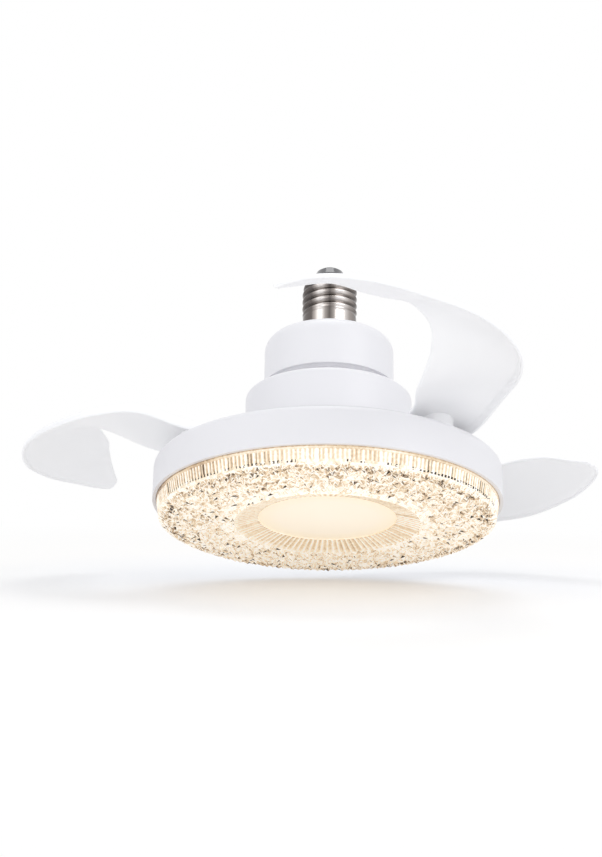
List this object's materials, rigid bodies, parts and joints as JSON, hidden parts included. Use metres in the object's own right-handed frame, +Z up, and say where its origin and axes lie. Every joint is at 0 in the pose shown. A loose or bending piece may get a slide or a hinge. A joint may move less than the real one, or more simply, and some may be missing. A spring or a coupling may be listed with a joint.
{
  "type": "retractable blade ceiling fan",
  "caption": "Screw-in ceiling fan lamp with curved blades that swing out from above a round crystal-look lamp when its hub turns, and fold back over it at rest.",
  "frame": {"origin": "tip of the screw cap's centre contact, on the axis of rotation", "axes": "+Z up along the axis, out of the cap towards the lampholder; the lamp hangs along -Z; -Y towards the camera of the picture"},
  "size_m": [0.2869, 0.2786, 0.1316],
  "materials": {
    "cap_nickel": "bright nickel plate",
    "cap_dark": "dark glassy insulator",
    "contact_metal": "tinned",
    "white_body": "smooth satin white",
    "white_blade": "smooth, faintly translucent white",
    "white_metal": "satin white paint",
    "crystal": "clear faceted acrylic, warm lit",
    "opal": "warm white lit opal",
    "steel": "zinc plated",
    "hard_steel": "ground bearing steel",
    "core_steel": "laminated steel",
    "magnet": "sintered",
    "copper": "enamelled copper wire",
    "bush_brass": "sintered",
    "washer_plastic": "slippery dark plastic",
    "board": "green board",
    "led_white": "white solder mask",
    "led": "warm phosphor",
    "aluminium": "plain",
    "component": "moulded"
  },
  "bodies": {
    "lamp": {"screw_shell": "cap_nickel", "cap_insulator": "cap_dark", "centre_contact": "contact_metal", "driver_housing": "white_body", "housing_base": "white_body", "base_screws": "steel", "driver_board": "board", "driver_transformer": "component", "driver_capacitor": "component", "receiver_board": "board", "upper_shaft_nut": "steel", "motor_shaft": "steel", "bearing_inner_races": "hard_steel", "stator_core": "core_steel", "stator_windings": "copper", "lamp_drum": "white_body", "lower_shaft_nut": "steel", "heat_plate": "aluminium", "led_board": "led_white", "led_chips": "led", "plate_screws": "steel", "crystal_diffuser": "crystal", "opal_disc": "opal", "diffuser_clips": "steel", "clip_screws": "steel"},
    "rotor": {"bearing_outer_races": "hard_steel", "bearing_balls": "hard_steel", "rotor_cup": "steel", "rotor_magnets": "magnet", "cup_screws": "steel", "motor_cover": "white_body", "cover_screws": "steel", "blade_carrier": "white_metal", "pivot_pins": "steel", "pivot_bushes": "bush_brass", "thrust_washers": "washer_plastic", "return_springs": "steel"},
    "blade_1": {"blade_1": "white_blade"},
    "blade_2": {"blade_2": "white_blade"},
    "blade_3": {"blade_3": "white_blade"}
  },
  "joints": [
    {"name": "rotor_spin", "type": "hinge", "parent": "lamp", "child": "rotor", "pos_m": [0, 0, -0.1015], "axis": [0, 0, 1], "continuous": true},
    {"name": "blade_1_swing", "type": "hinge", "parent": "rotor", "child": "blade_1", "pos_m": [0.04755, -0.04133, -0.098], "axis": [0, 0, 1], "range_deg": [-81, 0], "stiffness_Nm_per_rad": 0.01, "springref_deg": -108.86},
    {"name": "blade_2_swing", "type": "hinge", "parent": "rotor", "child": "blade_2", "pos_m": [-0.05957, -0.02051, -0.098], "axis": [0, 0, 1], "range_deg": [-81, 0], "stiffness_Nm_per_rad": 0.01, "springref_deg": -108.86},
    {"name": "blade_3_swing", "type": "hinge", "parent": "rotor", "child": "blade_3", "pos_m": [0.01202, 0.06184, -0.098], "axis": [0, 0, 1], "range_deg": [-81, 0], "stiffness_Nm_per_rad": 0.01, "springref_deg": -108.86}
  ]
}
